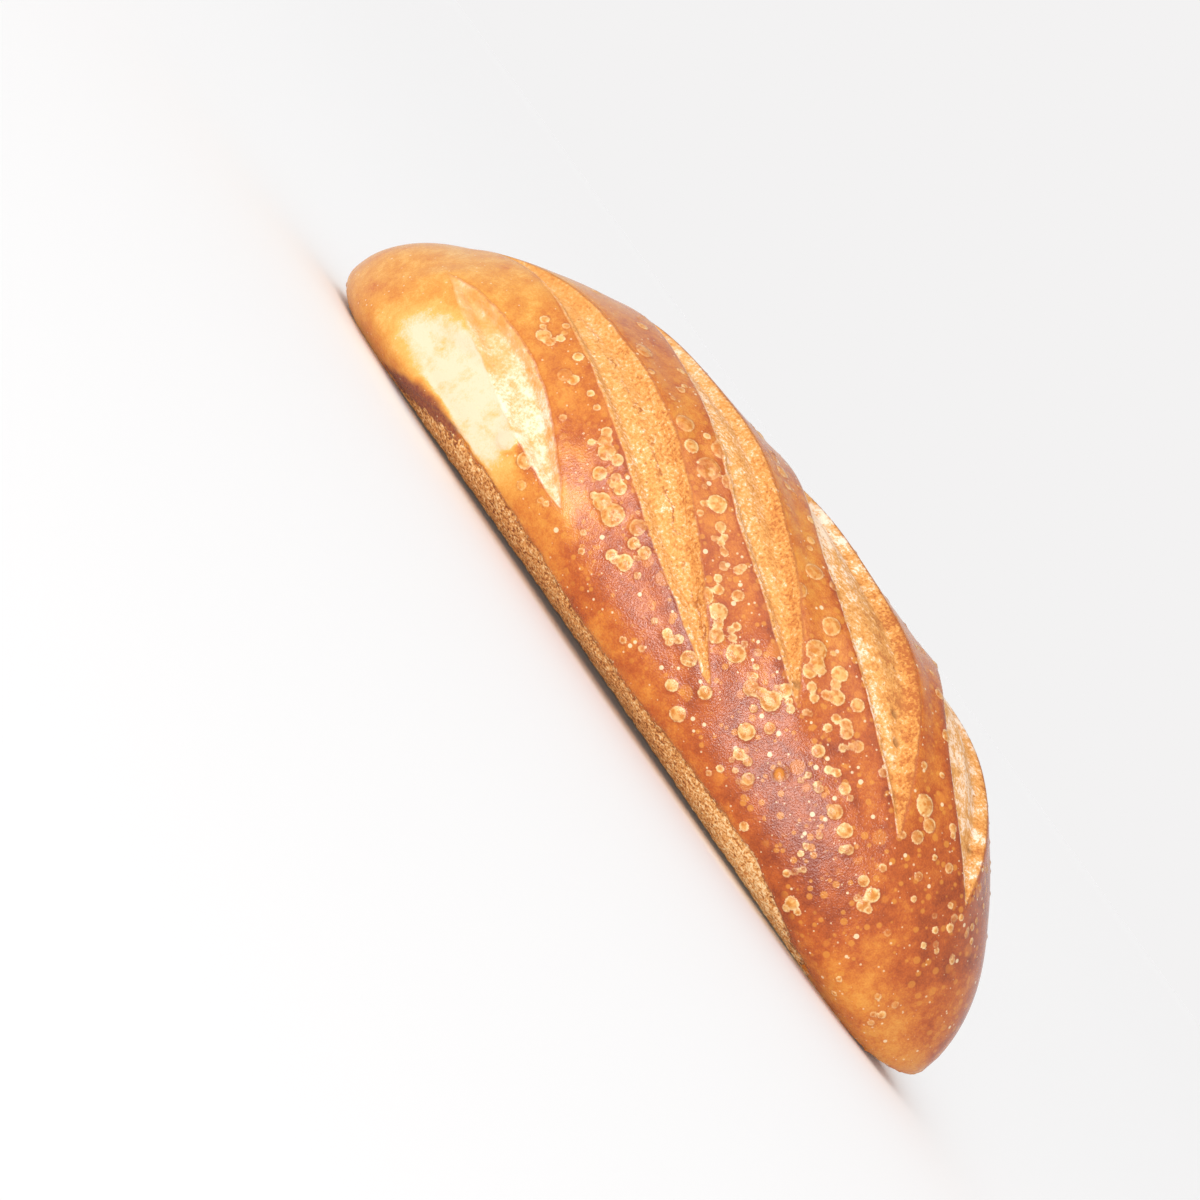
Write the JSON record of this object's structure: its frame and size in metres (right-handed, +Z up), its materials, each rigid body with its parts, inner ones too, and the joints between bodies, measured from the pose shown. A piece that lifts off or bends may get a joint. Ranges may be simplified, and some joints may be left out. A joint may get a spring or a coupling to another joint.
{
  "type": "vienna loaf",
  "caption": "Long oval crusty wheat loaf with tapered round ends, long slanting slashes opened in baking, and a flat base.",
  "frame": {"origin": "under the middle of the loaf, on the surface that it stands on", "axes": "+X along the loaf towards its higher-domed end, -Y is the side towards which the slashes open, +Z up"},
  "size_m": [0.285, 0.1092, 0.0777],
  "materials": {
    "baked_crust": "baked wheat crust: satin golden brown with blisters, paler matte slashes, rough tan base skin"
  },
  "bodies": {
    "root": {"loaf": "baked_crust"}
  },
  "joints": []
}
